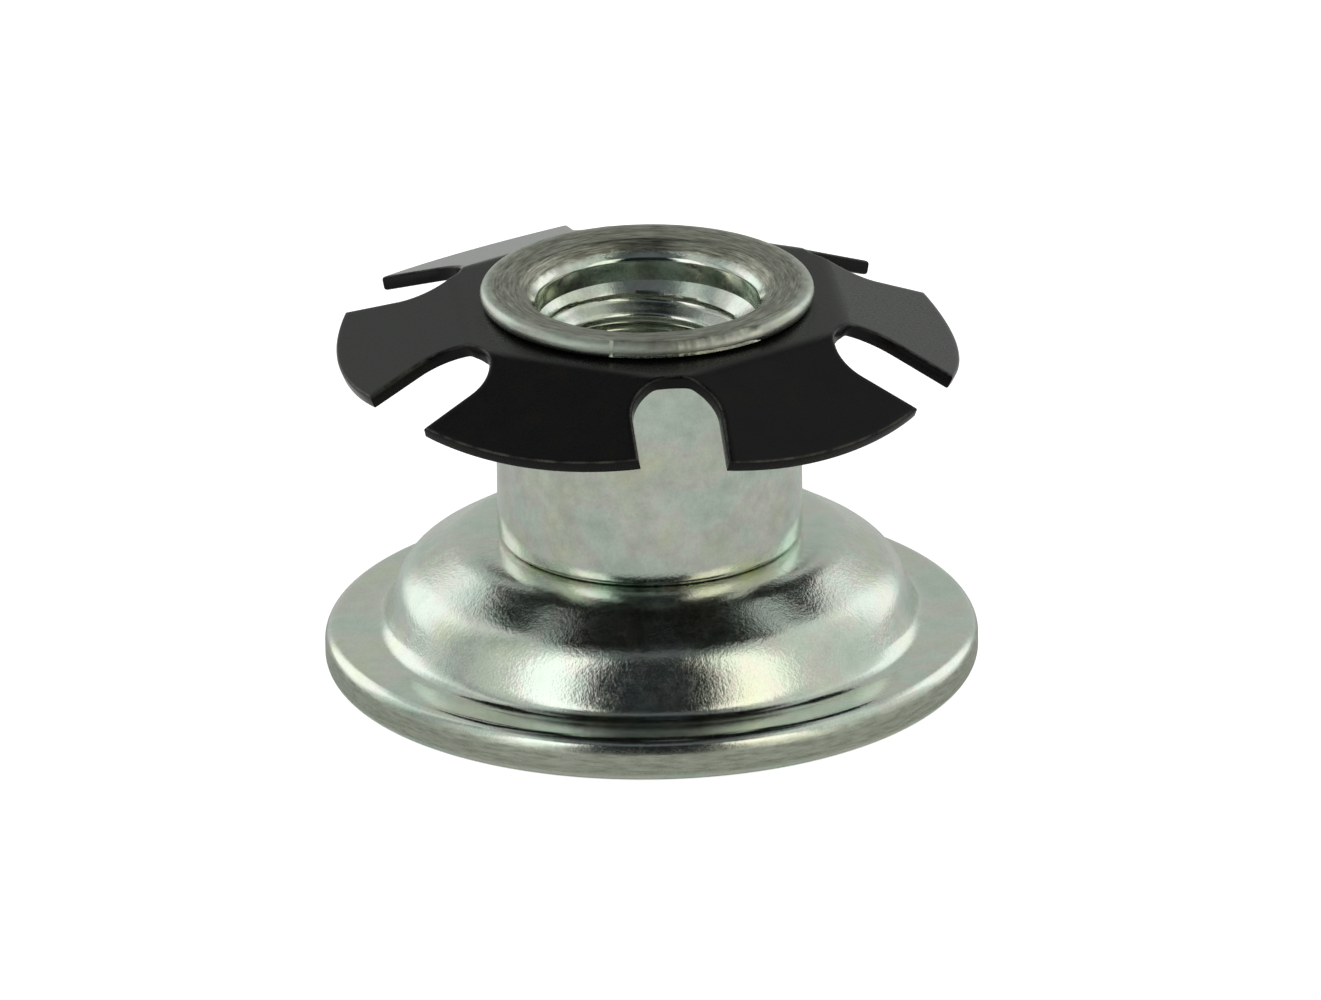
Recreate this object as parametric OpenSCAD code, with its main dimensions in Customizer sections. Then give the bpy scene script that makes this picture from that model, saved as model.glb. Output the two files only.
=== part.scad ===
// A threaded tube insert for the open end of a round tube.
// A domed cap closes the tube, a threaded barrel takes the stem of a foot or castor,
// and the bent fingers of a spring washer grip the tube's inner wall.
// The cap's underside lies at z = 0, and the barrel's bore runs along Z.

/* [Cap] */
// Diameter of the flange, the same as the tube's outside
flange_d = 25.4; // [22:0.1:32]
// Width of the flange around the dome's wall, for the tube's end
flange_w = 2.25; // [1.5:0.05:3]
// Thickness of the cap's sheet
cap_sheet = 1.75; // [1.4:0.05:2]
// Height of the barrel's seat above the flange
dome_h = 3.65; // [3.2:0.05:4.6]
// Slope of the dome's wall
dome_wall_slope = 71; // [65:1:80]
// Slope of the dome's top, between the crown and the shoulder
dome_top_slope = 31; // [25:0.5:40]
// Slope of the ring between the barrel and the crown
dome_ring_slope = 8; // [3:1:12]
// Outer radius of the dome's shoulder
dome_shoulder_round = 2.3; // [1.8:0.05:2.6]
// Outer radius of the crown, where the ring turns into the dome's top
dome_crown_round = 1.5; // [0.5:0.1:3]
// Inner radius where the dome's top leaves the flat under the seat
dome_seat_round = 0.35; // [0.1:0.05:1.25]
// Outer radius in the corner between the dome and the flange
dome_foot_round = 0.9; // [0.4:0.05:1.2]
// Radius of the flange's lower edge, rolled over by the press
flange_edge_round = 0.65; // [0.2:0.05:0.8]
// Radius of the flange's upper edge
flange_rim_round = 0.65; // [0.1:0.05:0.8]

/* [Barrel] */
// Nominal diameter of the metric thread
thread_d = 8; // [6:0.5:9]
// Pitch of the thread
thread_pitch = 1.25; // [0.75:0.05:1.5]
// Radial room between the thread and the necks' inner wall
thread_relief = 0.3; // [0.1:0.05:0.6]
// Wall of the necks that pass through the cap and the washer
neck_wall = 0.7; // [0.5:0.05:1]
// Width of the barrel's end faces around the necks
barrel_face_w = 0.93; // [0.7:0.01:1.5]
// Length of the barrel between the cap and the washer
barrel_h = 9.1; // [6:0.05:14]
// Radius of the barrel's lower edge
barrel_foot_round = 0.35; // [0.1:0.05:0.5]
// Radius of the barrel's upper edge
barrel_head_round = 0.25; // [0.1:0.05:0.5]
// Depth of the necks' inner wall below the barrel's end faces
throat_depth = 0.3; // [0.1:0.05:1]

/* [Rolled collars] */
// Width by which the upper collar stands out from its neck
head_collar_w = 1.475; // [1.2:0.025:1.8]
// Width by which the lower collar stands out from its neck, inside the cap
foot_collar_w = 0.9; // [0.7:0.05:1.2]
// Thickness of both collars
collar_t = 0.75; // [0.5:0.05:0.9]
// Width of the funnel at the collars' mouths
mouth_flare = 0.65; // [0.4:0.05:0.9]
// Fall of the collars' face from the outer edge to the mouth
collar_dish = 0.12; // [0.04:0.01:0.2]
// Radius of the mouths' edges
mouth_round = 0.25; // [0.1:0.05:0.4]

/* [Washer] */
// Diameter across the finger tips
star_d = 24.2; // [21:0.1:28]
// Thickness of the washer's spring steel
star_sheet = 0.55; // [0.4:0.05:0.8]
// Number of fingers
star_fingers = 6; // [6:1:8]
// Slope that the fingers are bent to
finger_slope = 23; // [10:1:30]
// Inner radius of the bends
finger_bend_round = 0.5; // [0.2:0.1:1]
// Width of the slots between the fingers
slot_w = 3.5; // [2:0.1:4]
// Width of the flat ring between the upper collar and the slots
slot_ring_w = 1.575; // [1.2:0.025:2]
// Turn of the first slot from the front, towards the right
slot_turn = 6.4; // [0:0.1:60]

/* [Fits] */
// Gap between the necks and the holes they pass through
neck_gap = 0.05; // [0.02:0.01:0.1]

/* [Hidden] */

// Depth of the internal thread on both sides of the bore, as a share of the pitch
thread_depth_share = 1.0825;
// Round of the collars' lip, as a share of their thickness
lip_round_share = 0.45;
// Place of the flat's end under the seat, as a share of the room from the lower collar to the dome's wall
inner_crown_share = 0.431;
// Slope of each finger in turn from the first slot, as a share of the common slope: the bends are uneven
finger_slope_shares = [1.17, 1.19, 1.09, 0.85, 0.935, 1.025];
// Largest step between the points of a rounded corner, in degrees
arc_step = 6;
// Sides of the turned solids
turned_sides = 180;
// Angle by which neighbouring fingers lap in the washer's flat middle
finger_lap = 1.5;
// Length by which cuts run past the surfaces they cut
overrun = 1;

// Radii from the bore outwards
bore_r = (thread_d - thread_depth_share * thread_pitch) / 2;
throat_r = thread_d / 2 + thread_relief;
mouth_r = throat_r + mouth_flare;
neck_r = throat_r + neck_wall;
neck_hole_r = neck_r + neck_gap;
barrel_r = neck_r + barrel_face_w;
head_collar_r = neck_r + head_collar_w;
foot_collar_r = neck_r + foot_collar_w;
seat_r = barrel_r - barrel_foot_round / 2;
flange_r = flange_d / 2;
dome_r = flange_r - flange_w;
star_r = star_d / 2;
slot_reach_r = head_collar_r + slot_ring_w;
lip_round = collar_t * lip_round_share;

// Heights from the flange's underside
seat_z = cap_sheet + dome_h;
shoulder_z = seat_z + barrel_h;

// The fingers bend along straight lines that pass just outside the slots' inner ends
finger_angle = 360 / star_fingers;
finger_bend_x = slot_reach_r * cos(finger_angle / 2 - finger_lap);

// Unit vector from one point towards another
function towards(from, to) = (to - from) / norm(to - from);

// Point where the line through p at angle a crosses the line through q at angle b
function crossing(p, a, q, b) =
    let (d = [cos(a), sin(a)], e = [cos(b), sin(b)])
    p + d * cross(q - p, e) / cross(d, e);

// Points along an arc about a centre
function arc(centre, radius, start, sweep) =
    let (steps = ceil(abs(sweep) / arc_step))
    [for (i = [0:steps]) centre + radius * [cos(start + sweep * i / steps), sin(start + sweep * i / steps)]];

// Points of the corner b between a and c, rounded to a radius
function corner(a, b, c, radius) =
    let (
        u = towards(b, a),
        v = towards(b, c),
        turn = 180 - acos(u * v),
        centre = b + (u + v) / norm(u + v) * radius / cos(turn / 2),
        spoke = b + u * radius * tan(turn / 2) - centre
    )
    radius == 0 ? [b] : arc(centre, radius, atan2(spoke.y, spoke.x), -sign(cross(u, v)) * turn);

// Outline from corners written as [x, y, radius]
function rounded(corners) =
    let (n = len(corners), p = [for (k = corners) [k.x, k.y]])
    [for (i = [0:n - 1]) each corner(p[(i + n - 1) % n], p[i], p[(i + 1) % n], corners[i].z)];

// A list from its last entry to its first
function backwards(list) = [for (i = [len(list) - 1:-1:0]) list[i]];

// Radius of a fillet, limited by the room along the sides of a corner with this turn
function fitted(radius, turn, room) = min(radius, room / tan(turn / 2));

// A point moved outwards across the cap's sheet, where the sheet has this slope
function across(p, slope, distance) = p + distance * [sin(slope), cos(slope)];

// Corners of a staked end of the barrel, from the bore out to the barrel's end face.
// way is 1 for the upper end and -1 for the lower one, and grip is the sheet that the collar holds.
function staked_end(face_z, way, grip, collar_r) =
    let (collar_z = face_z + way * grip, throat_z = face_z - way * throat_depth)
    [
        [bore_r, throat_z - way * (throat_r - bore_r), 0],
        [throat_r, throat_z, 0],
        [throat_r, collar_z, mouth_round],
        [mouth_r, collar_z + way * (collar_t - collar_dish), mouth_round],
        [collar_r, collar_z + way * collar_t, lip_round],
        [collar_r, collar_z, lip_round],
        [neck_r, collar_z, 0],
        [neck_r, face_z, 0]
    ];

module turned(corners) {
    rotate_extrude($fn = turned_sides) polygon(rounded(corners));
}

// The stamped cap: a flat flange, a steep wall, a round shoulder, a sloping top and a gentler ring
// around the barrel. Inside, the flat for the lower collar ends where the dome's top begins.
module base_cap() {
    seat_edge = [seat_r, seat_z];
    wall_foot = [dome_r, cap_sheet];
    inner_wall = across(wall_foot, dome_wall_slope, -cap_sheet);
    inner_foot = crossing([0, 0], 0, inner_wall, -dome_wall_slope);
    inner_end = crossing([0, dome_h], 0, inner_wall, -dome_wall_slope);
    inner_flat_w = inner_crown_share * (inner_end.x - foot_collar_r);
    inner_crown = [foot_collar_r + inner_flat_w, dome_h];
    inner_shoulder = crossing(inner_crown, -dome_top_slope, inner_wall, -dome_wall_slope);
    top = across(inner_crown, dome_top_slope, cap_sheet);
    crown = crossing(seat_edge, -dome_ring_slope, top, -dome_top_slope);
    shoulder = crossing(top, -dome_top_slope, wall_foot, -dome_wall_slope);
    top_room = norm(shoulder - crown) / 2;
    crown_room = min(top_room, norm(crown - seat_edge));
    shoulder_round = fitted(dome_shoulder_round, dome_wall_slope - dome_top_slope, top_room);
    color([0.74, 0.76, 0.73])
    turned([
        [neck_hole_r, seat_z, 0],
        [seat_edge.x, seat_edge.y, 0],
        [crown.x, crown.y, fitted(dome_crown_round, dome_top_slope - dome_ring_slope, crown_room)],
        [shoulder.x, shoulder.y, shoulder_round],
        [wall_foot.x, wall_foot.y, dome_foot_round],
        [flange_r, cap_sheet, flange_rim_round],
        [flange_r, 0, flange_edge_round],
        [inner_foot.x, 0, dome_foot_round + cap_sheet],
        [inner_shoulder.x, inner_shoulder.y, max(0, shoulder_round - cap_sheet)],
        [inner_crown.x, inner_crown.y, fitted(dome_seat_round, dome_top_slope, inner_flat_w)],
        [neck_hole_r, dome_h, 0]
    ]);
}

// The turned barrel with both necks rolled over into collars. The bore has the thread's minor diameter.
module threaded_barrel() {
    color([0.78, 0.79, 0.76])
    turned(concat(
        staked_end(shoulder_z, 1, star_sheet, head_collar_r),
        [
            [barrel_r, shoulder_z, barrel_head_round],
            [barrel_r, seat_z, barrel_foot_round]
        ],
        backwards(staked_end(seat_z, -1, cap_sheet, foot_collar_r))
    ));
}

// One finger with its share of the washer's flat middle, pointing along X, its underside at z = 0.
// Its end is an arc about the washer's centre as it was before the finger was bent.
module finger(slope) {
    outer_bend = finger_bend_round + star_sheet;
    top_corner = [finger_bend_x + outer_bend * tan(slope / 2), star_sheet];
    low_corner = [finger_bend_x + finger_bend_round * tan(slope / 2), 0];
    down = [cos(slope), -sin(slope)];
    blade_l = (star_r - top_corner.x) / cos(slope);
    tip = top_corner + down * blade_l;
    top_end = top_corner + down * (blade_l + overrun);
    low_end = top_end - star_sheet * [sin(slope), cos(slope)];
    blank_r = finger_bend_x + (star_r - finger_bend_x) / cos(slope);
    wedge_l = star_r + overrun;
    wedge_w = wedge_l * tan(finger_angle / 2 + finger_lap);
    intersection() {
        rotate([90, 0, 0])
        linear_extrude(2 * wedge_w, center = true)
        polygon(rounded([
            [0, 0, 0],
            [0, star_sheet, 0],
            [top_corner.x, top_corner.y, outer_bend],
            [top_end.x, top_end.y, 0],
            [low_end.x, low_end.y, 0],
            [low_corner.x, low_corner.y, finger_bend_round]
        ]));
        linear_extrude(2 * star_r, center = true)
        polygon([[0, 0], [wedge_l, -wedge_w], [wedge_l, wedge_w]]);
        translate([tip.x, 0, tip.y])
        rotate([0, slope, 0])
        translate([-blank_r, 0, 0])
        cylinder(h = 2 * star_r, r = blank_r, center = true, $fn = turned_sides);
    }
}

// The cut between two fingers, along X, with a round inner end
module slot() {
    slot_end_x = slot_reach_r + slot_w / 2;
    linear_extrude(2 * star_r, center = true) {
        translate([slot_end_x, 0]) circle(d = slot_w, $fn = turned_sides);
        translate([slot_end_x, -slot_w / 2]) square([star_r, slot_w]);
    }
}

// The spring washer, clamped flat between the barrel's upper face and the upper collar
module star_washer() {
    color([0.13, 0.13, 0.13])
    translate([0, 0, shoulder_z])
    rotate([0, 0, slot_turn - 90])
    difference() {
        union() {
            for (i = [0:star_fingers - 1]) {
                slope_share = finger_slope_shares[i % len(finger_slope_shares)];
                rotate([0, 0, (i + 1 / 2) * finger_angle]) finger(finger_slope * slope_share);
            }
        }
        for (i = [0:star_fingers - 1]) rotate([0, 0, i * finger_angle]) slot();
        cylinder(h = 2 * star_r, r = neck_hole_r, center = true, $fn = turned_sides);
    }
}

base_cap();
threaded_barrel();
star_washer();
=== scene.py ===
"""Looks of a threaded tube insert: a zinc plated cap, a zinc plated threaded barrel that is
staked over at its ends, and a star washer of black spring steel clamped under the upper collar.

Lengths are metres in the part's own frame: +Z up, the cap's underside at z = 0.
Azimuths run from the front (-Y) towards the right (+X).
"""

import math

import bmesh
import bpy
from mathutils import Matrix, Vector


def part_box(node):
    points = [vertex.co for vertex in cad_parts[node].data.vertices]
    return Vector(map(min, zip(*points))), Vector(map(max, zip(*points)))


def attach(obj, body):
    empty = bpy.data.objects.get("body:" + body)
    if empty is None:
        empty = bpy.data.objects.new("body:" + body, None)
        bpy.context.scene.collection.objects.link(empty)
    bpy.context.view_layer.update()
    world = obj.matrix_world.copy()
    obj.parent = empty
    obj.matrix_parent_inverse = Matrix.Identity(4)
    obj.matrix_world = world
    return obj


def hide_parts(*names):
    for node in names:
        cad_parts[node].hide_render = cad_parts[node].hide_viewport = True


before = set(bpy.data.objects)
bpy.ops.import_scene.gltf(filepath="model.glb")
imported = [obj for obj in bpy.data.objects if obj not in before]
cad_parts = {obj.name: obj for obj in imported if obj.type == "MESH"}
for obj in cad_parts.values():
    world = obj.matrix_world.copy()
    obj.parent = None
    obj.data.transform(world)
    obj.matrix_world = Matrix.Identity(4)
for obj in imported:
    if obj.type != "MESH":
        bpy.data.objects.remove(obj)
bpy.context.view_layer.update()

MM = 0.001
PER_MM = 1.0 / MM

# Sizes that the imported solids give
_, cap_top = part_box("base_cap")
_, barrel_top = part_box("threaded_barrel")
_, star_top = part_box("star_washer")
FLANGE_R = cap_top.x
SEAT_Z = cap_top.z
COLLAR_TOP_Z = barrel_top.z
STAR_TOP_Z = star_top.z

# The cap. Its ring round the barrel is level here, with a wider round at the crown than the solid's.
CAP_SHEET = 1.75 * MM
FLANGE_W = 2.25 * MM
DOME_WALL_SLOPE = math.radians(71)
DOME_TOP_SLOPE = math.radians(31)
DOME_RING_SLOPE = math.radians(0)
DOME_SHOULDER_ROUND = 2.3 * MM
DOME_CROWN_ROUND = 2.3 * MM
DOME_SEAT_ROUND = 0.35 * MM
DOME_FOOT_ROUND = 0.9 * MM
FLANGE_EDGE_ROUND = 0.65 * MM
FLANGE_RIM_ROUND = 0.65 * MM
INNER_CROWN_SHARE = 0.431

# The barrel and its staked ends
THREAD_R = 4.0 * MM
THREAD_PITCH = 1.25 * MM
THREAD_DEPTH_SHARE = 0.54125
THREAD_TURN_SHARE = 0.13
THREAD_BLEND = 0.12 * MM
THREAD_ROOT_SHARE = 0.02
THREAD_CREST_SHARE = 0.46
THROAT_R = 4.3 * MM
THROAT_DEPTH = 0.3 * MM
NECK_R = 5.0 * MM
NECK_GAP = 0.05 * MM
BARREL_R = 5.93 * MM
BARREL_FOOT_ROUND = 0.35 * MM
BARREL_HEAD_ROUND = 0.25 * MM
HEAD_COLLAR_R = 6.475 * MM
FOOT_COLLAR_R = 5.9 * MM
COLLAR_T = 0.75 * MM
COLLAR_DISH = 0.12 * MM
LIP_ROUND = 0.45 * COLLAR_T
MOUTH_R = 4.95 * MM
MOUTH_ROUND = 0.25 * MM

# The star washer
STAR_R = 12.1 * MM
STAR_SHEET = 0.55 * MM
STAR_FINGERS = 6
FINGER_SLOPE = math.radians(23)
FINGER_SLOPE_SHARES = (1.17, 1.19, 1.09, 0.85, 0.935, 1.025)
FINGER_BEND_ROUND = 0.5 * MM
FINGER_LAP = math.radians(1.5)
SLOT_W = 3.5 * MM
SLOT_REACH_R = HEAD_COLLAR_R + 1.575 * MM
SLOT_TURN = math.radians(6.4)
STAR_EDGE_ROUND = 0.12 * MM

# Heights and radii worked out from the above
FLANGE_TOP_Z = CAP_SHEET
DOME_H = SEAT_Z - CAP_SHEET
DOME_R = FLANGE_R - FLANGE_W
SEAT_R = BARREL_R - BARREL_FOOT_ROUND / 2
SHOULDER_Z = STAR_TOP_Z - STAR_SHEET
BORE_R = THREAD_R - THREAD_DEPTH_SHARE * THREAD_PITCH
FINGER_ANGLE = 2 * math.pi / STAR_FINGERS
FINGER_BEND_X = SLOT_REACH_R * math.cos(FINGER_ANGLE / 2 - FINGER_LAP)

# Fineness of the meshes
SECTORS = 320
ARC_STEP = math.radians(6)
LONGEST_STEP = 0.45 * MM
ROWS_A_PITCH = 17
FINGER_COLUMNS = 48
HOLE_ROWS = 16
SLOT_END_ROWS = 20
SLOT_SIDE_ROWS = 14
EDGE_STEPS = 4
TIP_HALVINGS = 40
WELD = 1e-7
SHARP_ANGLE = math.radians(32)


# Outlines

def cross(u, v):
    return u.x * v.y - u.y * v.x


def crossing(p, p_angle, q, q_angle):
    """The point where a line through p meets a line through q, each at its angle."""
    d = Vector((math.cos(p_angle), math.sin(p_angle)))
    e = Vector((math.cos(q_angle), math.sin(q_angle)))
    return p + d * cross(q - p, e) / cross(d, e)


def corner(before, here, after, radius):
    """The points of one corner of an outline, rounded to a radius."""
    if radius == 0:
        return [here]
    u = (before - here).normalized()
    v = (after - here).normalized()
    turn = math.pi - u.angle(v)
    centre = here + (u + v).normalized() * radius / math.cos(turn / 2)
    spoke = here + u * radius * math.tan(turn / 2) - centre
    sweep = -math.copysign(turn, cross(u, v))
    steps = max(2, math.ceil(turn / ARC_STEP))
    return [centre + Matrix.Rotation(sweep * k / steps, 2) @ spoke for k in range(steps + 1)]


def rounded(corners):
    """An outline from corners written as (r, z, radius)."""
    places = [Vector(c[:2]) for c in corners]
    points = []
    for i, (_, _, radius) in enumerate(corners):
        after = places[(i + 1) % len(places)]
        points += corner(places[i - 1], places[i], after, radius)
    return points


def divided(points):
    """An open run of points with its long stretches cut up."""
    fine = [points[0]]
    for a, b in zip(points, points[1:]):
        steps = max(1, math.ceil((b - a).length / LONGEST_STEP))
        fine += [a.lerp(b, k / steps) for k in range(1, steps + 1)]
    return fine


# Meshes

def piece(name, vertices, faces):
    mesh = bpy.data.meshes.new(name)
    mesh.from_pydata(vertices, [], faces)
    made = bpy.data.objects.new(name, mesh)
    bpy.context.scene.collection.objects.link(made)
    return made


def finish_mesh(made):
    """Welds the seams, points the faces outwards and shades all but the sharp edges smooth."""
    net = bmesh.new()
    net.from_mesh(made.data)
    bmesh.ops.remove_doubles(net, verts=net.verts, dist=WELD)
    bmesh.ops.recalc_face_normals(net, faces=net.faces)
    net.to_mesh(made.data)
    net.free()
    made.data.shade_smooth()
    made.data.set_sharp_from_angle(angle=SHARP_ANGLE)


def turned(name, outline, reshape=None):
    """A closed outline turned about Z. reshape may move a point, given its r, z and azimuth."""
    vertices = []
    for point in outline:
        for j in range(SECTORS):
            azimuth = 2 * math.pi * j / SECTORS
            r, z = reshape(point.x, point.y, azimuth) if reshape else point
            vertices.append((r * math.sin(azimuth), -r * math.cos(azimuth), z))
    rows = len(outline)
    faces = []
    for i in range(rows):
        low, high = i * SECTORS, (i + 1) % rows * SECTORS
        for j in range(SECTORS):
            k = (j + 1) % SECTORS
            faces.append((low + j, low + k, high + k, high + j))
    made = piece(name, vertices, faces)
    finish_mesh(made)
    return made


def dress(made, node, surface):
    """Puts a finished piece in the place of its CAD solid."""
    made.data.materials.append(surface)
    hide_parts(node)
    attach(made, "root")


# The cap

def across(point, slope, distance):
    """A point moved outwards across the cap's sheet, where the sheet has this slope."""
    return point + distance * Vector((math.sin(slope), math.cos(slope)))


def cap_outline():
    seat_edge = Vector((SEAT_R, SEAT_Z))
    wall_foot = Vector((DOME_R, FLANGE_TOP_Z))
    inner_wall = across(wall_foot, DOME_WALL_SLOPE, -CAP_SHEET)
    inner_foot = crossing(Vector((0, 0)), 0, inner_wall, -DOME_WALL_SLOPE)
    inner_end = crossing(Vector((0, DOME_H)), 0, inner_wall, -DOME_WALL_SLOPE)
    inner_crown_r = FOOT_COLLAR_R + INNER_CROWN_SHARE * (inner_end.x - FOOT_COLLAR_R)
    inner_crown = Vector((inner_crown_r, DOME_H))
    inner_shoulder = crossing(inner_crown, -DOME_TOP_SLOPE, inner_wall, -DOME_WALL_SLOPE)
    top = across(inner_crown, DOME_TOP_SLOPE, CAP_SHEET)
    crown = crossing(seat_edge, -DOME_RING_SLOPE, top, -DOME_TOP_SLOPE)
    shoulder = crossing(top, -DOME_TOP_SLOPE, wall_foot, -DOME_WALL_SLOPE)
    hole_r = NECK_R + NECK_GAP
    points = rounded([
        (hole_r, SEAT_Z, 0),
        (*seat_edge, 0),
        (*crown, DOME_CROWN_ROUND),
        (*shoulder, DOME_SHOULDER_ROUND),
        (*wall_foot, DOME_FOOT_ROUND),
        (FLANGE_R, FLANGE_TOP_Z, FLANGE_RIM_ROUND),
        (FLANGE_R, 0, FLANGE_EDGE_ROUND),
        (inner_foot.x, 0, DOME_FOOT_ROUND + CAP_SHEET),
        (*inner_shoulder, DOME_SHOULDER_ROUND - CAP_SHEET),
        (*inner_crown, DOME_SEAT_ROUND),
        (hole_r, DOME_H, 0),
    ])
    return divided(points + points[:1])[:-1]


# The barrel

def staked_end(face_z, way, grip, collar_r):
    """Corners from the throat's inner end out to the barrel's end face; way is 1 for the upper end."""
    collar_z = face_z + way * grip
    return [
        (THROAT_R, face_z - way * THROAT_DEPTH, 0),
        (THROAT_R, collar_z, MOUTH_ROUND),
        (MOUTH_R, collar_z + way * (COLLAR_T - COLLAR_DISH), MOUTH_ROUND),
        (collar_r, collar_z + way * COLLAR_T, LIP_ROUND),
        (collar_r, collar_z, LIP_ROUND),
        (NECK_R, collar_z, 0),
        (NECK_R, face_z, 0),
    ]


def bore_rows(low_z, high_z):
    """Points up the bore between the two throats, close enough for the thread."""
    step = THREAD_PITCH / ROWS_A_PITCH
    rows = round((high_z - low_z) / step)
    points = []
    for k in range(1, rows):
        z = low_z + (high_z - low_z) * k / rows
        from_end = min(z - low_z, high_z - z)
        points.append(Vector((max(BORE_R, THROAT_R - from_end), z)))
    return points


def barrel_outline():
    head = staked_end(SHOULDER_Z, 1, STAR_SHEET, HEAD_COLLAR_R)
    foot = staked_end(SEAT_Z, -1, CAP_SHEET, FOOT_COLLAR_R)
    sides = [(BARREL_R, SHOULDER_Z, BARREL_HEAD_ROUND), (BARREL_R, SEAT_Z, BARREL_FOOT_ROUND)]
    outside = divided(rounded(head + sides + foot[::-1]))
    return outside + bore_rows(foot[0][1], head[0][1])


def eased(value, low, high):
    """0 below low, 1 above high and smooth between."""
    share = min(max((value - low) / (high - low), 0), 1)
    return share * share * (3 - 2 * share)


def larger(a, b, blend):
    """The larger of two lengths, with the change from one to the other rounded over a blend."""
    near = max(blend - abs(a - b), 0) / blend
    return max(a, b) + near * near * blend / 4


def thread_radius(z, azimuth):
    """Radius of the cut of a right-hand thread at a height and azimuth; its edges are worn round."""
    phase = (z / THREAD_PITCH - azimuth / (2 * math.pi) + THREAD_TURN_SHARE) % 1
    from_root = abs(phase - 0.5)
    return THREAD_R - (THREAD_R - BORE_R) * eased(from_root, THREAD_ROOT_SHARE, THREAD_CREST_SHARE)


# The upper collar's lip is torn off over a stretch of its front, and ends in small teeth.
# Azimuths are degrees. A tooth ends at an azimuth, with a share of the lip left on it.
TORN_FROM = (-13.6, -12.4)
TORN_TO = (38.0, 44.0)
TOOTH_TURNS = ((9.0, 0.36), (12.4, 0.75), (15.6, 0.45), (18.4, 0.8), (21.6, 0.5), (24.2, 0.85), (27.8, 0.0),
               (30.2, 0.7), (33.6, 0.35), (36.4, 0.6), (40.0, 0.2))
TOOTH_SHARE = 0.45
TOOTH_POWER = 0.7
TORN_FALL = 0.10 * MM
TORN_BACK = 0.14 * MM
TORN_FROM_R = HEAD_COLLAR_R - 0.55 * MM
TORN_TO_R = HEAD_COLLAR_R - 0.1 * MM
TORN_ABOVE_Z = STAR_TOP_Z + COLLAR_T / 5


def torn(azimuth):
    """Share of the lip that is missing at an azimuth."""
    turn = (math.degrees(azimuth) + 180) % 360 - 180
    share = eased(turn, *TORN_FROM) * (1 - eased(turn, *TORN_TO))
    for (low, _), (high, left) in zip(TOOTH_TURNS, TOOTH_TURNS[1:]):
        if low < turn <= high:
            along = (turn - low) / (high - low)
            share *= 1 - TOOTH_SHARE * left * math.sin(math.pi * along) ** TOOTH_POWER
    return share


def barrel_reshape(r, z, azimuth):
    """Cuts the thread into the bore and tears the upper collar's lip."""
    in_bore = r < THROAT_R and SEAT_Z < z < SHOULDER_Z
    if in_bore:
        r = larger(r, thread_radius(z, azimuth), THREAD_BLEND)
    elif z > TORN_ABOVE_Z:
        share = torn(azimuth) * eased(r, TORN_FROM_R, TORN_TO_R)
        fall = share * TORN_FALL * (z - STAR_TOP_Z) / COLLAR_T
        r, z = r - share * TORN_BACK, z - fall
    return r, min(z, COLLAR_TOP_Z)


# The star washer

def bent(x, slope):
    """Height of a finger's upper skin at a distance x along the finger."""
    outer = FINGER_BEND_ROUND + STAR_SHEET
    bend_end = FINGER_BEND_X + outer * math.sin(slope)
    if x <= FINGER_BEND_X:
        return STAR_TOP_Z
    if x <= bend_end:
        lean = math.asin((x - FINGER_BEND_X) / outer)
        return STAR_TOP_Z - outer * (1 - math.cos(lean))
    return STAR_TOP_Z - outer * (1 - math.cos(slope)) - (x - bend_end) * math.tan(slope)


def spaced(low, high, count):
    return [low + (high - low) * k / count for k in range(count)]


# The flat of the upper skin ends where the rounded edges begin
SKIN_SLOT_R = SLOT_W / 2 + STAR_EDGE_ROUND
SKIN_HOLE_R = NECK_R + NECK_GAP + STAR_EDGE_ROUND


def fanned(r, half):
    """A row of plan points at one radius, between two angles either side of the finger's middle."""
    turns = [half * (2 * j / FINGER_COLUMNS - 1) for j in range(FINGER_COLUMNS + 1)]
    return [Vector((r * math.cos(turn), r * math.sin(turn))) for turn in turns]


def tip_x(y, slope):
    """How far a finger's end reaches at a distance y from its middle: the blank was round."""
    blank_r = FINGER_BEND_X + (STAR_R - FINGER_BEND_X) / math.cos(slope)
    return STAR_R - (STAR_EDGE_ROUND + blank_r - math.sqrt(blank_r ** 2 - y ** 2)) * math.cos(slope)


def beside_slot(x):
    """Radius and half angle of the finger's side at a distance x along the slot beside it."""
    return math.hypot(x, SKIN_SLOT_R), FINGER_ANGLE / 2 - math.atan2(SKIN_SLOT_R, x)


def tip_row(slope):
    """The plan points of a finger's end, between the sides of the slots beside it."""
    low, high = SLOT_REACH_R, STAR_R
    for _ in range(TIP_HALVINGS):
        middle = (low + high) / 2
        r, half = beside_slot(middle)
        inside = r * math.cos(half) < tip_x(r * math.sin(half), slope)
        low, high = (middle, high) if inside else (low, middle)
    r, half = beside_slot(low)
    aside = r * math.sin(half)
    ys = [aside * (2 * j / FINGER_COLUMNS - 1) for j in range(FINGER_COLUMNS + 1)]
    return [Vector((tip_x(y, slope), y)) for y in ys]


def finger_rows(slope):
    """Rows of plan points across one finger, from the hole along the round slot ends to the tip."""
    end_x = SLOT_REACH_R + SLOT_W / 2
    rows = [fanned(r, FINGER_ANGLE / 2) for r in spaced(SKIN_HOLE_R, end_x - SKIN_SLOT_R, HOLE_ROWS)]
    for turn in spaced(0, math.pi / 2, SLOT_END_ROWS):
        x, y = end_x - SKIN_SLOT_R * math.cos(turn), SKIN_SLOT_R * math.sin(turn)
        rows.append(fanned(math.hypot(x, y), FINGER_ANGLE / 2 - math.atan2(y, x)))
    base, tip = fanned(*beside_slot(end_x)), tip_row(slope)
    for share in spaced(0, 1, SLOT_SIDE_ROWS) + [1]:
        rows.append([a.lerp(b, share) for a, b in zip(base, tip)])
    return rows


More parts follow.
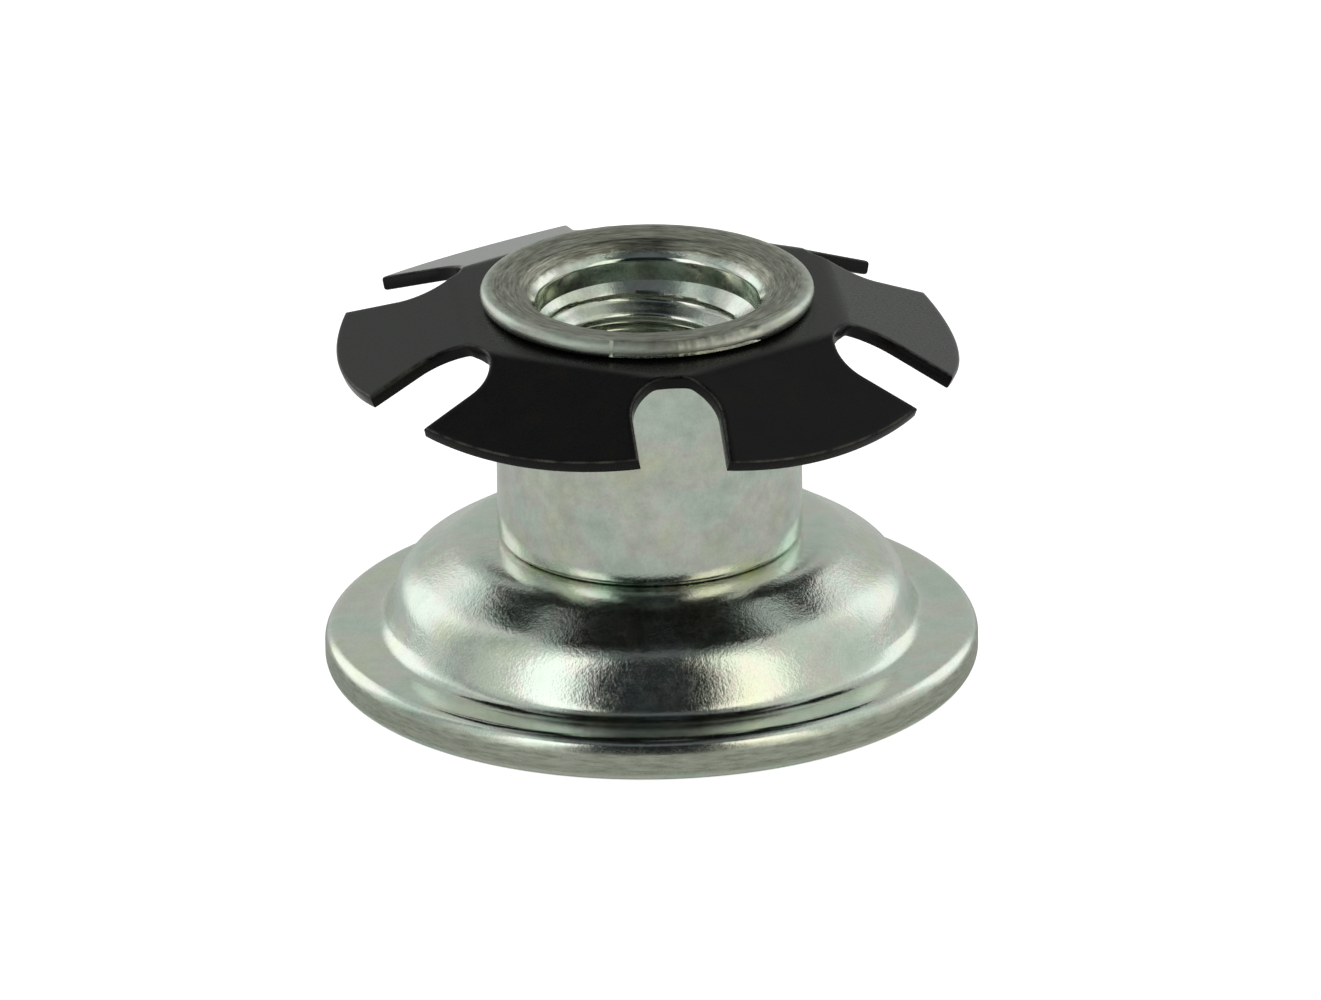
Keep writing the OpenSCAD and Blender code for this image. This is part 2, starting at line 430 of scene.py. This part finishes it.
def finger(middle, slope):
    """Upper skin of one finger about its middle azimuth, as vertices and faces."""
    rows = finger_rows(slope)
    vertices, faces = [], []
    for x, y in (point for row in rows for point in row):
        vertices.append((
            x * math.sin(middle) + y * math.cos(middle),
            -x * math.cos(middle) + y * math.sin(middle),
            bent(x, slope),
        ))
    width = FINGER_COLUMNS + 1
    for i in range(len(rows) - 1):
        for j in range(FINGER_COLUMNS):
            a = i * width + j
            faces.append((a, a + width, a + width + 1, a + 1))
    return vertices, faces


SHARPEST_MITRE = 1.4
EDGE_ATTRIBUTE = "upper_edge"


def outward_ways(rim):
    """For each point of a skin's rim, the way out along the skin, longer at a corner."""
    ways = {}
    for edge in rim:
        face = edge.link_faces[0]
        a, b = edge.verts
        way = (b.co - a.co).cross(face.normal).normalized()
        if way.dot(face.calc_center_median() - a.co) > 0:
            way.negate()
        for point in (a, b):
            ways.setdefault(point, []).append(way)
    for point, found in ways.items():
        total = sum(found, Vector((0, 0, 0)))
        ways[point] = total.normalized() * min(len(found) / total.length, SHARPEST_MITRE)
    return ways


def rounded_edge():
    """Steps down the sheet's edge, each as its reach beyond the skin and its depth below it."""
    turns = [math.pi / 2 * k / EDGE_STEPS for k in range(1, EDGE_STEPS + 1)]
    upper = [(STAR_EDGE_ROUND * math.sin(t), STAR_EDGE_ROUND * (1 - math.cos(t))) for t in turns]
    return upper + [(reach, STAR_SHEET - depth) for reach, depth in reversed(upper)]


def thicken(made):
    """Makes a closed sheet with rounded edges from its open upper skin, and marks the upper edges."""
    net = bmesh.new()
    net.from_mesh(made.data)
    mark = net.verts.layers.float.new(EDGE_ATTRIBUTE)
    net.normal_update()
    skin, faces = list(net.verts), list(net.faces)
    rim = [edge for edge in net.edges if edge.is_boundary]
    down = {v: v.normal * -math.copysign(1, v.normal.z) for v in skin}
    out = outward_ways(rim)
    loops = [{v: v for v in skin}]
    for reach, depth in rounded_edge():
        loops.append({v: net.verts.new(v.co + out[v] * reach + down[v] * depth) for v in out})
        for point in loops[-1].values():
            point[mark] = 1.0 if depth < STAR_EDGE_ROUND / 2 else 0.0
    under = {v: net.verts.new(v.co + down[v] * STAR_SHEET) for v in skin}
    for upper, lower in zip(loops, loops[1:] + [under]):
        for a, b in (edge.verts for edge in rim):
            net.faces.new((upper[a], upper[b], lower[b], lower[a]))
    for face in faces:
        net.faces.new([under[v] for v in reversed(face.verts)])
    net.to_mesh(made.data)
    net.free()


def star_washer():
    vertices, faces = [], []
    for i, share in enumerate(FINGER_SLOPE_SHARES):
        more_vertices, more_faces = finger(SLOT_TURN + (i + 0.5) * FINGER_ANGLE, FINGER_SLOPE * share)
        faces += [tuple(len(vertices) + v for v in f) for f in more_faces]
        vertices += more_vertices
    made = piece("spring_washer", vertices, faces)
    finish_mesh(made)
    thicken(made)
    finish_mesh(made)
    return made


# Materials

def add(tree, kind, inputs=None, **settings):
    """Adds a node, sets its properties and fills its inputs with values or links."""
    made = tree.nodes.new(kind)
    for name, value in settings.items():
        setattr(made, name, value)
    for name, value in (inputs or {}).items():
        if isinstance(value, bpy.types.NodeSocket):
            tree.links.new(value, made.inputs[name])
        else:
            made.inputs[name].default_value = value
    return made


def material(name):
    made = bpy.data.materials.new(name)
    made.use_nodes = True
    tree = made.node_tree
    return made, tree, tree.nodes["Principled BSDF"]


def millimetres(tree):
    """Texture coordinates in millimetres in the part's frame."""
    place = add(tree, "ShaderNodeTexCoord").outputs["Object"]
    return add(tree, "ShaderNodeVectorMath", {0: place, "Scale": PER_MM}, operation="SCALE").outputs[0]


def noise(tree, place, scale, detail=3.0, roughness=0.55):
    inputs = {"Vector": place, "Scale": scale, "Detail": detail, "Roughness": roughness}
    return add(tree, "ShaderNodeTexNoise", inputs).outputs["Fac"]


def spread(tree, value, low, high, to_low=0.0, to_high=1.0, smooth=False):
    """Maps a value from one range to another, held at its ends."""
    inputs = {"Value": value, "From Min": low, "From Max": high, "To Min": to_low, "To Max": to_high}
    kind = "SMOOTHSTEP" if smooth else "LINEAR"
    return add(tree, "ShaderNodeMapRange", inputs, interpolation_type=kind).outputs["Result"]


def math_node(tree, operation, a, b=0.0):
    return add(tree, "ShaderNodeMath", {0: a, 1: b}, operation=operation).outputs[0]


def colours(tree, value, stops):
    """A colour ramp through stops written as (place, colour)."""
    ramp = add(tree, "ShaderNodeValToRGB", {"Fac": value})
    elements = ramp.color_ramp.elements
    while len(elements) < len(stops):
        elements.new(0.5)
    for element, (place, colour) in zip(elements, stops):
        element.position = place
        element.color = (*colour, 1.0)
    return ramp.outputs["Color"]


def bump(tree, height, distance, normal=None):
    inputs = {"Height": height, "Distance": distance, "Strength": 1.0}
    if normal is not None:
        inputs["Normal"] = normal
    return add(tree, "ShaderNodeBump", inputs).outputs["Normal"]


def mixed(tree, factor, a, b):
    """A colour between two others."""
    made = add(tree, "ShaderNodeMix", data_type="RGBA")
    sockets = [i for i in made.inputs if i.enabled]
    for socket, value in zip(sockets, (factor, a, b)):
        if isinstance(value, bpy.types.NodeSocket):
            tree.links.new(value, socket)
        else:
            socket.default_value = value
    return [o for o in made.outputs if o.enabled][0]


def split(tree, place):
    """The distance from Z and the coordinates of a place."""
    x, y, z = add(tree, "ShaderNodeSeparateXYZ", {0: place}).outputs
    out = math_node(tree, "SQRT", math_node(tree, "ADD", math_node(tree, "MULTIPLY", x, x),
                                            math_node(tree, "MULTIPLY", y, y)))
    return out, x, y, z


def round_the_axis(tree, place, ring_scale, level_scale):
    """Coordinates that are drawn out around Z, so that a noise on them runs in rings."""
    out, x, y, z = split(tree, place)
    stretched = [math_node(tree, "MULTIPLY", c, ring_scale) for c in (x, y)]
    level = math_node(tree, "MULTIPLY", math_node(tree, "ADD", z, out), level_scale)
    return add(tree, "ShaderNodeCombineXYZ", {0: stretched[0], 1: stretched[1], 2: level}).outputs[0]


# The range in which most values of a noise lie. Scales of noises are per millimetre.
NOISE_RANGE = (0.3, 0.7)

# Zinc plate
ZINC_CASTS = (
    (0.30, (0.66, 0.76, 0.67)),
    (0.44, (0.72, 0.79, 0.71)),
    (0.52, (0.76, 0.755, 0.70)),
    (0.60, (0.74, 0.79, 0.68)),
    (0.72, (0.77, 0.78, 0.62)),
)
CAST_SCALE = 0.40
CLOUD_SCALE = 1.3
CLOUD_RANGE = (0.32, 0.68)
CLOUD_PALEST = 1.04
GRAIN_SCALE = 11.0
GRAIN_SHADES = (0.94, 1.05)
PEEL_SCALE = 4.6
PEEL_SHARE = 1.1
SMOOTH_GRAIN = 0.3
SMOOTH_GLOSS = 0.06
ROUGHNESS_VARIES = 0.04
SCORE_RING_SCALE = 1.2
SCORE_LEVEL_SCALE = 9.0


def zinc_tint(tree, place, cloud, grain, mottling):
    cast = noise(tree, place, CAST_SCALE, 2.0)
    mottle = math_node(tree, "MULTIPLY",
                       spread(tree, cloud, *CLOUD_RANGE, CLOUD_PALEST - mottling, CLOUD_PALEST),
                       spread(tree, grain, *NOISE_RANGE, *GRAIN_SHADES))
    inputs = {0: colours(tree, cast, ZINC_CASTS), "Scale": mottle}
    return add(tree, "ShaderNodeVectorMath", inputs, operation="SCALE").outputs[0]


def zinc_roughness(tree, roughness, cloud, grain, grained):
    fine = spread(tree, grain, *NOISE_RANGE, -ROUGHNESS_VARIES, ROUGHNESS_VARIES)
    broad = spread(tree, cloud, *NOISE_RANGE, roughness - ROUGHNESS_VARIES, roughness + ROUGHNESS_VARIES)
    smooth = spread(tree, grained, SMOOTH_GRAIN, 1.0, -SMOOTH_GLOSS, 0.0)
    return math_node(tree, "ADD", math_node(tree, "ADD", fine, broad), smooth)


def zinc(name, roughness, grain_height, mottling, grain_mask, worn):
    """Bright zinc plate with a clear passivate: green, yellow and pink casts and a fine grain.

    mottling is how far its clouds darken it. grain_mask gives the share of the grain at each place.
    worn gives a mask of the worn places, with their colours, added roughness and score depth."""
    made, tree, shader = material(name)
    place = millimetres(tree)
    grain = noise(tree, place, GRAIN_SCALE, 2.0, 0.6)
    peel = noise(tree, place, PEEL_SCALE, 2.0)
    cloud = noise(tree, place, CLOUD_SCALE, 4.0, 0.65)
    grained = grain_mask(tree, place)
    mask, dull_colours, added, depth = worn(tree, place)
    rings = round_the_axis(tree, place, SCORE_RING_SCALE, SCORE_LEVEL_SCALE)
    scores = noise(tree, rings, 1.0, 4.0, 0.65)
    tint = zinc_tint(tree, place, cloud, grain, mottling)
    tint = mixed(tree, mask, tint, colours(tree, scores, dull_colours))
    rough = math_node(tree, "ADD", zinc_roughness(tree, roughness, cloud, grain, grained), added)
    skin = math_node(tree, "ADD", grain, math_node(tree, "MULTIPLY", peel, PEEL_SHARE))
    normal = bump(tree, math_node(tree, "MULTIPLY", skin, grained), grain_height)
    normal = bump(tree, math_node(tree, "MULTIPLY", scores, mask), depth, normal)
    tree.links.new(tint, shader.inputs["Base Color"])
    tree.links.new(rough, shader.inputs["Roughness"])
    tree.links.new(normal, shader.inputs["Normal"])
    shader.inputs["Metallic"].default_value = 1.0
    return made


# Places on the zinc plate: where they begin (from and to, in millimetres), the colours of their scores
# with the depth of those, and the roughness that they add
COLLAR_COLOURS = ((0.30, (0.11, 0.11, 0.085)), (0.50, (0.27, 0.27, 0.22)), (0.68, (0.48, 0.48, 0.40)))
COLLAR_FROM_Z = (STAR_TOP_Z * PER_MM + 0.1, STAR_TOP_Z * PER_MM + 0.3)
COLLAR_FROM_R = (THROAT_R * PER_MM + 0.1, THROAT_R * PER_MM + 0.3)
LIP_FROM_R = (HEAD_COLLAR_R * PER_MM - 0.55, HEAD_COLLAR_R * PER_MM - 0.2)
LIP_SCORED_SHARE = 0.35
LIP_FRONT_TO_SIDE = (2.5, 5.0)
LIP_ROUGHER = (0.42, 0.20)
COLLAR_ROUGHER = 0.24
COLLAR_RAGGED = 0.1
COLLAR_RAGGED_SCALE = 2.5
COLLAR_SCORE_DEPTH = 0.02 * MM
SHEARED_COLOURS = ((0.30, (0.34, 0.36, 0.29)), (0.50, (0.49, 0.52, 0.44)), (0.68, (0.60, 0.63, 0.54)))
SHEARED_FROM_R = (FLANGE_R * PER_MM - 0.12, FLANGE_R * PER_MM - 0.03)
SHEARED_ROUGHER = 0.16
SHEARED_SCORE_DEPTH = 0.008 * MM
DOME_FROM_Z = (FLANGE_TOP_Z * PER_MM + 0.1, FLANGE_TOP_Z * PER_MM + 0.6)
PRESSED_GRAIN = 0.4


def rolled_collar(tree, place):
    """The upper collar and its mouth, dulled and scored by the rolling tool; its lip is worn brighter."""
    out, x, _, z = split(tree, place)
    frayed = noise(tree, place, COLLAR_RAGGED_SCALE, 3.0)
    ragged = math_node(tree, "ADD", out, spread(tree, frayed, *NOISE_RANGE, -COLLAR_RAGGED, COLLAR_RAGGED))
    collar = math_node(tree, "MULTIPLY", spread(tree, z, *COLLAR_FROM_Z),
                       spread(tree, ragged, *COLLAR_FROM_R))
    mask = math_node(tree, "MULTIPLY", collar, spread(tree, ragged, *LIP_FROM_R, 1.0, LIP_SCORED_SHARE))
    satin = spread(tree, math_node(tree, "ABSOLUTE", x), *LIP_FRONT_TO_SIDE, *LIP_ROUGHER)
    added = math_node(tree, "MULTIPLY", collar, spread(tree, ragged, *LIP_FROM_R, COLLAR_ROUGHER, satin))
    return mask, COLLAR_COLOURS, added, COLLAR_SCORE_DEPTH


def sheared_edge(tree, place):
    """The flange's side, which the press sheared."""
    out, _, _, _ = split(tree, place)
    mask = spread(tree, out, *SHEARED_FROM_R)
    added = math_node(tree, "MULTIPLY", mask, SHEARED_ROUGHER)
    return mask, SHEARED_COLOURS, added, SHEARED_SCORE_DEPTH


def above_flange(tree, place):
    """The dome, whose skin was stretched by the press; the flange stayed smooth."""
    _, _, _, z = split(tree, place)
    return spread(tree, z, *DOME_FROM_Z, SMOOTH_GRAIN, 1.0)


def below_collar(tree, place):
    """The barrel's sides; the collar's skin was pressed smooth before it was scored."""
    _, _, _, z = split(tree, place)
    return spread(tree, z, SHOULDER_Z * PER_MM, STAR_TOP_Z * PER_MM, 1.0, PRESSED_GRAIN)


# Black steel. Its sheen grows and its roughness falls where it is seen at a glancing angle.
BLACK_CASTS = (
    (0.30, (0.0020, 0.0025, 0.0025)),
    (0.58, (0.0038, 0.0038, 0.0034)),
    (0.74, (0.0080, 0.0058, 0.0038)),
)
BLACK_CAST_SCALE = 0.8
# Paler colour on the rounded upper edges, in patches: part edge wear, part painted highlight
EDGE_WEAR_AND_HIGHLIGHT_COLOUR = (0.075, 0.070, 0.060, 1.0)
EDGE_WEAR_AND_HIGHLIGHT_SCALE = 1.4
EDGE_WEAR_AND_HIGHLIGHT_RANGE = (0.38, 0.62)
BLACK_ROUGHNESS = (0.24, 0.34)
BLACK_GRAIN_SCALE = 9.0
BLACK_GRAIN_HEIGHT = 0.002 * MM
GLANCING = (0.70, 0.94)
GLANCING_ROUGHNESS_SHARE = 0.4
SHEEN = (0.20, 1.0)


def black_oxide():
    """Blackened spring steel with a brown cast in places, paler in patches along its rounded upper edges:
    edge wear and a painted highlight.
    """
    made, tree, shader = material("black_spring_steel")
    place = millimetres(tree)
    grain = noise(tree, place, BLACK_GRAIN_SCALE, 3.0)
    tint = colours(tree, noise(tree, place, BLACK_CAST_SCALE, 3.0), BLACK_CASTS)
    edge = add(tree, "ShaderNodeAttribute", attribute_name=EDGE_ATTRIBUTE).outputs["Fac"]
    patches = spread(tree, noise(tree, place, EDGE_WEAR_AND_HIGHLIGHT_SCALE, 4.0), *EDGE_WEAR_AND_HIGHLIGHT_RANGE)
    # Edge wear and a painted highlight on the marked upper edges
    edge_wear_and_highlight = math_node(tree, "MULTIPLY", edge, patches)
    facing = add(tree, "ShaderNodeLayerWeight", {"Blend": 0.5}).outputs["Facing"]
    rough = math_node(tree, "MULTIPLY", spread(tree, grain, *NOISE_RANGE, *BLACK_ROUGHNESS),
                      spread(tree, facing, *GLANCING, 1.0, GLANCING_ROUGHNESS_SHARE))
    tree.links.new(mixed(tree, edge_wear_and_highlight, tint, EDGE_WEAR_AND_HIGHLIGHT_COLOUR), shader.inputs["Base Color"])
    tree.links.new(rough, shader.inputs["Roughness"])
    tree.links.new(spread(tree, facing, *GLANCING, *SHEEN), shader.inputs["Specular IOR Level"])
    tree.links.new(bump(tree, grain, BLACK_GRAIN_HEIGHT), shader.inputs["Normal"])
    return made


# Studio

CAMERA_ELEVATION = math.radians(22.0)
CAMERA_ROLL = math.radians(-0.75)
CAMERA_DISTANCE = 1.2
FRAME_WIDTH = 51.29 * MM
SENSOR_WIDTH = 36.0
AIM = Vector((0.414 * MM, 0, 6.696 * MM))


def camera():
    data = bpy.data.cameras.new("camera")
    data.sensor_width = SENSOR_WIDTH
    data.lens = SENSOR_WIDTH * CAMERA_DISTANCE / FRAME_WIDTH
    data.clip_start = CAMERA_DISTANCE / 10
    data.clip_end = CAMERA_DISTANCE * 100
    made = bpy.data.objects.new("camera", data)
    bpy.context.scene.collection.objects.link(made)
    back = Vector((0, -math.cos(CAMERA_ELEVATION), math.sin(CAMERA_ELEVATION)))
    turn = (-back).to_track_quat("-Z", "Y").to_matrix() @ Matrix.Rotation(CAMERA_ROLL, 3, "Z")
    made.matrix_world = Matrix.Translation(AIM + back * CAMERA_DISTANCE) @ turn.to_4x4()
    bpy.context.scene.camera = made


# What the metal sees around it, as azimuths, elevations, soft edge (all in degrees) and light.
# Azimuths past 180 carry on round the back. The camera's own side is left dark.
PANELS = (
    ((-60, -32), (-90, 56), 5, (1.40, 1.42, 1.38)),
    ((32, 62), (-90, 56), 5, (1.32, 1.29, 1.12)),
    ((-84, -60), (-90, 66), 6, (0.56, 0.60, 0.56)),
    ((-100, -84), (-90, 66), 6, (0.33, 0.37, 0.36)),
    ((-115, -100), (-90, 62), 6, (0.68, 0.72, 0.68)),
    ((-149, -115), (-90, 38), 6, (1.20, 1.22, 1.20)),
    ((-149, -115), (38, 62), 6, (0.50, 0.53, 0.51)),
    ((62, 96), (-90, 66), 7, (0.60, 0.62, 0.57)),
    ((96, 117), (-90, 62), 7, (0.68, 0.70, 0.66)),
    ((117, 145), (-90, 40), 6, (1.14, 1.16, 1.14)),
    ((117, 145), (40, 62), 6, (0.50, 0.53, 0.51)),
    ((145, 211), (-90, 50), 6, (0.47, 0.49, 0.46)),
    ((42, 318), (60, 76), 6, (0.13, 0.14, 0.135)),
    ((-42, 42), (62, 74), 6, (0.11, 0.12, 0.125)),
)
DARK_SIDE = (0.012, 0.016, 0.019)
WHITE = (1, 1, 1, 1)


def band(tree, value, low, high, soft):
    """1 between low and high, falling to 0 over a soft edge."""
    rise = spread(tree, value, low - soft, low + soft, smooth=True)
    fall = spread(tree, value, high - soft, high + soft, 1.0, 0.0, smooth=True)
    return math_node(tree, "MULTIPLY", rise, fall)


def degrees(tree, angle):
    return math_node(tree, "MULTIPLY", angle, 180 / math.pi)


def panel(tree, azimuth, height, panel_azimuths, panel_heights, soft, light):
    """The light of one panel, as a colour."""
    low, high = panel_azimuths
    start = math_node(tree, "SUBTRACT", azimuth, low - soft)
    turned_on = math_node(tree, "ADD", math_node(tree, "FLOORED_MODULO", start, 360), low - soft)
    sideways = band(tree, turned_on, low, high, soft)
    mask = math_node(tree, "MULTIPLY", sideways, band(tree, height, *panel_heights, soft))
    return add(tree, "ShaderNodeVectorMath", {0: light, "Scale": mask}, operation="SCALE").outputs[0]


def studio():
    """Soft lamps and pale walls round the object, with a white backdrop for the camera."""
    world = bpy.data.worlds.new("studio")
    bpy.context.scene.world = world
    world.use_nodes = True
    tree = world.node_tree
    way = add(tree, "ShaderNodeTexCoord").outputs["Generated"]
    x, y, z = add(tree, "ShaderNodeSeparateXYZ", {0: way}).outputs
    front = math_node(tree, "MULTIPLY", y, -1.0)
    azimuth = degrees(tree, math_node(tree, "ARCTAN2", x, front))
    height = degrees(tree, math_node(tree, "ARCSINE", z))
    light = DARK_SIDE
    for row in PANELS:
        more = panel(tree, azimuth, height, *row)
        light = add(tree, "ShaderNodeVectorMath", {0: light, 1: more}, operation="ADD").outputs[0]
    path = add(tree, "ShaderNodeLightPath")
    shown = mixed(tree, path.outputs["Is Camera Ray"], light, WHITE)
    tree.links.new(shown, tree.nodes["Background"].inputs["Color"])


FLOOR_HALF = 1.5
FLOOR_Z = -0.01 * MM
FLOOR_COLOUR = (0.9, 0.9, 0.9, 1)
# Light that the floor adds to what falls on it, for the camera and for the metal
FLOOR_SHOWN = 0.82
FLOOR_MIRRORED = 0.10


def floor():
    corners = ((-1, -1), (1, -1), (1, 1), (-1, 1))
    made = piece("floor", [(x * FLOOR_HALF, y * FLOOR_HALF, FLOOR_Z) for x, y in corners], [(0, 1, 2, 3)])
    surface, tree, shader = material("pale_floor")
    tree.nodes.remove(shader)
    path = add(tree, "ShaderNodeLightPath")
    glow = math_node(tree, "ADD", math_node(tree, "MULTIPLY", path.outputs["Is Camera Ray"], FLOOR_SHOWN),
                     math_node(tree, "MULTIPLY", path.outputs["Is Glossy Ray"], FLOOR_MIRRORED))
    matt = add(tree, "ShaderNodeBsdfDiffuse", {"Color": FLOOR_COLOUR})
    white = add(tree, "ShaderNodeEmission", {"Color": WHITE, "Strength": glow})
    lit = add(tree, "ShaderNodeAddShader", {0: matt.outputs[0], 1: white.outputs[0]})
    tree.links.new(lit.outputs[0], tree.nodes["Material Output"].inputs["Surface"])
    made.data.materials.append(surface)


bpy.context.scene.view_settings.view_transform = "Standard"
camera()
studio()
floor()
dress(turned("cap", cap_outline()), "base_cap",
      zinc("zinc_sheet", roughness=0.20, grain_height=0.008 * MM, mottling=0.10,
           grain_mask=above_flange, worn=sheared_edge))
dress(turned("barrel", barrel_outline(), barrel_reshape), "threaded_barrel",
      zinc("zinc_turned", roughness=0.16, grain_height=0.003 * MM, mottling=0.22,
           grain_mask=below_collar, worn=rolled_collar))
dress(star_washer(), "star_washer", black_oxide())
